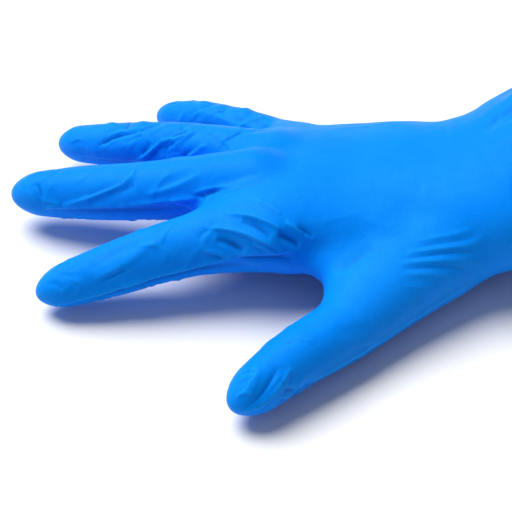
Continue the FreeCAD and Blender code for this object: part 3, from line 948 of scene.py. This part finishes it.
def nitrile():
    """Satin azure nitrile film: faint mottling, painted shade in the creases and painted highlight on tight
    ridges, fine skin.
    """
    material = bpy.data.materials.new("nitrile")
    material.use_nodes = True
    tree, shader = material.node_tree, material.node_tree.nodes["Principled BSDF"]
    place = tree.nodes.new("ShaderNodeTexCoord").outputs["Object"]
    fold_shade_and_highlight = tree.nodes.new("ShaderNodeAttribute")
    fold_shade_and_highlight.attribute_name = "fold_shade_and_highlight"

    broad = spread(tree, noise(tree, place, 28.0, 3.0), 0.0, 1.0, 0.35, 0.65)
    colour = mixed(tree, broad, DEEP_AZURE, LIGHT_AZURE)
    mottle = spread(tree, noise(tree, place, 700.0, 4.0, 0.6), 0.0, 0.5, 0.3, 0.8)
    colour = mixed(tree, mottle, colour, SPECK)
    # Painted shade: creases and deep grooves darken towards a deep blue.
    hollow = spread(tree, fold_shade_and_highlight.outputs["Fac"], 0.0, 0.6, 0.08, 1.0)
    colour = mixed(tree, hollow, colour, PAINTED_CREASE_SHADE)
    # Painted highlight: sharp ridges lighten towards a pale azure.
    ridge = spread(tree, fold_shade_and_highlight.outputs["Fac"], 0.0, 0.35, -0.1, -0.9)
    colour = mixed(tree, ridge, colour, PAINTED_RIDGE_HIGHLIGHT)
    tree.links.new(colour, shader.inputs["Base Color"])

    sheen = spread(tree, noise(tree, place, 160.0, 4.0), 0.42, 0.58, 0.3, 0.7)
    tree.links.new(sheen, shader.inputs["Roughness"])
    shader.inputs["IOR"].default_value = 1.3
    shader.inputs["Specular IOR Level"].default_value = 0.25
    shader.inputs["Specular Tint"].default_value = SPECULAR_TINT

    skin = tree.nodes.new("ShaderNodeMath")
    skin.operation = "ADD"
    tree.links.new(spread(tree, noise(tree, place, 1500.0, 3.0), 0.0, 0.45), skin.inputs[0])
    tree.links.new(noise(tree, place, 330.0, 5.0, 0.6), skin.inputs[1])
    bump = tree.nodes.new("ShaderNodeBump")
    bump.inputs["Strength"].default_value = 0.35
    bump.inputs["Distance"].default_value = 0.0005
    tree.links.new(skin.outputs[0], bump.inputs["Height"])
    tree.links.new(bump.outputs["Normal"], shader.inputs["Normal"])
    return material


# --- building ---------------------------------------------------------------------------------

def linked(name, data):
    """A new object of the scene."""
    made = bpy.data.objects.new(name, data)
    bpy.context.scene.collection.objects.link(made)
    return made


def main():
    """Builds the film, and returns its pieces by the names of their nodes, and its material."""
    low = ORIGIN + 1000.0 * np.array(CAD_BOX[0]) - MARGINS[0]
    high = ORIGIN + 1000.0 * np.array(CAD_BOX[1]) + MARGINS[1]
    vertices, quads = surface_net(sample_field(low, high, GRID))
    vertices = low + GRID * (vertices + 0.5)
    vertices, height = displace(settle(vertices, quads))
    normals = vertex_normals(vertices, quads)
    # Painted shade in creases and deep grooves, and painted highlight on sharp ridges, per vertex.
    fold_shade_and_highlight = hollows(vertices, quads, normals)
    fold_shade_and_highlight += GROOVE_SHADE * np.clip(-height - GROOVE_START, 0.0, 1.4)
    vertices, normals, fold_shade_and_highlight, faces = cut_film(vertices, quads, normals, fold_shade_and_highlight)
    centres = np.array([vertices[list(face)].mean(axis=0) for face in faces])
    names = zones(centres, owner(centres))
    material = nitrile()
    pieces = {}
    for node in frame["nodes"]:
        mine = [faces[i] for i in np.flatnonzero(names == node)]
        if mine:
            pieces[node] = film_piece(node + "_film", vertices, normals, fold_shade_and_highlight, mine)
            pieces[node].data.materials.append(material)
    return pieces, material


def cuff_edge(turn):
    """A point on the outside of the cuff's end and the way out there, by angle from its side."""
    c, s = math.cos(turn), math.sin(turn)
    power = 2.0 / HAND.corner
    across = math.copysign(abs(c) ** power, c) * CUFF_HALF[0]
    up = math.copysign(abs(s) ** power, s) * CUFF_HALF[1]
    out = unit(CUFF_SIDE * c / CUFF_HALF[0] + CUFF_UP * s / CUFF_HALF[1])
    return CUFF_END + CUFF_SIDE * across + CUFF_UP * up, out


def bead(material):
    """The rolled edge of the cuff, a little uneven along its length."""
    around, tube = 260, 16
    verts, faces = [], []
    for i in range(around):
        edge, out = cuff_edge(2.0 * math.pi * i / around)
        along, angle = around_cuff(edge[None])
        centre = edge + out * (slack(along, angle)[0] - 0.3) + CUFF_AXIS * (BEAD_RADIUS - 0.25)
        size = BEAD_RADIUS * (1.0 + 0.05 * math.sin(0.35 * i) + 0.03 * math.sin(1.1 * i + 1.0))
        for j in range(tube):
            b = 2.0 * math.pi * j / tube
            verts.append(centre + (out * math.cos(b) + CUFF_AXIS * math.sin(b)) * size)
            n, m = (i + 1) % around, (j + 1) % tube
            faces.append((i * tube + j, i * tube + m, n * tube + m, n * tube + j))
    mesh = bpy.data.meshes.new("cuff_bead_roll")
    mesh.from_pydata(((np.array(verts) - ORIGIN) / 1000.0).tolist(), [], faces)
    mesh.polygons.foreach_set("use_smooth", [True] * len(faces))
    mesh.materials.append(material)
    return linked("cuff_bead_roll", mesh)


def attach(pieces):
    """Each piece rides on its node's body, or, in a band between two bodies, stays where it is made; the CAD's own
    parts are hidden.
    """
    bends = {"wrist_band": ("palm", "cuff", WRIST_START, WRIST_END),
             "knuckle_band": ("palm", "finger_row", FOLD_START, FOLD_END),
             "thumb_root_band": ("palm", "thumb_base", ROOT_START, ROOT_END)}
    for name, rows in PLANES.items():
        points = [point for point, _ in rows]
        if name == "thumb":
            start = points[0] + WEB_HOLD * (points[1] - points[0])
            bends["thumb_mcp_band"] = ("thumb_base", "thumb_proximal", start, points[1])
            bends["thumb_ip_band"] = ("thumb_proximal", "thumb_end", points[2], points[3])
            continue
        chain = ("finger_row", name + "_proximal", name + "_middle", name + "_tip")
        for i, stretch in enumerate(("root_band", "pip_band", "dip_band")):
            bends[name + "_" + stretch] = (chain[i], chain[i + 1], points[2 * i],
                                           points[2 * i + 1])
    bodies = {node: body for body, nodes in frame["record"]["behaviour"]["bodies"].items()
              for node in nodes}
    for node, piece in pieces.items():
        if node in bends:
            first, second, start, end = bends[node]
            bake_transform(piece)
        else:
            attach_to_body(piece, bodies[node])
        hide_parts(node)


# --- the set ----------------------------------------------------------------------------------

def make_camera():
    """A long lens on the thumb's side, looking down at the back of the hand."""
    target, azimuth, elevation, distance = (0.1, -41.6, 0.0), 1.95, 42.4, 669.0
    away = heading(90.0 + azimuth, -elevation)
    data = bpy.data.cameras.new("camera")
    data.lens, data.sensor_width = 124.2, 36.0
    camera = linked("camera", data)
    camera.location = row_point(target + away * distance)
    camera.rotation_euler = Vector(-away).to_track_quat("-Z", "Y").to_euler()
    bpy.context.scene.camera = camera


def make_light(name, place, strength, softness):
    """A soft sun that shines from a place onto the origin; softness is its angle in degrees."""
    data = bpy.data.lights.new(name, "SUN")
    data.energy, data.angle = strength, math.radians(softness)
    light = linked(name, data)
    light.location = place
    light.rotation_euler = (-Vector(place)).to_track_quat("-Z", "Y").to_euler()


def make_set():
    """The pale floor, the even light of the surroundings, the soft sun and the camera."""
    half, pale = 3.0, (0.9, 0.9, 0.9, 1.0)
    mesh = bpy.data.meshes.new("floor")
    mesh.from_pydata([(-half, -half, 0), (half, -half, 0), (half, half, 0), (-half, half, 0)], [],
                     [(0, 1, 2, 3)])
    floor = linked("floor", mesh)
    floor.location.z = -0.0006
    material = bpy.data.materials.new("pale_floor")
    material.use_nodes = True
    shader = material.node_tree.nodes["Principled BSDF"]
    shader.inputs["Base Color"].default_value = pale
    shader.inputs["Roughness"].default_value = 0.9
    mesh.materials.append(material)
    world = bpy.data.worlds.new("studio")
    world.use_nodes = True
    background = world.node_tree.nodes["Background"]
    background.inputs["Color"].default_value = (1.0, 1.0, 1.0, 1.0)
    background.inputs["Strength"].default_value = 0.2
    bpy.context.scene.world = world
    bpy.context.scene.view_settings.view_transform = "Standard"
    make_light("key", (-0.42, 0.34, 1.0), 3.85, 45.0)
    make_camera()


PIECES, MATERIAL = main()
PIECES["cuff_bead"] = bead(MATERIAL)
attach(PIECES)
make_set()
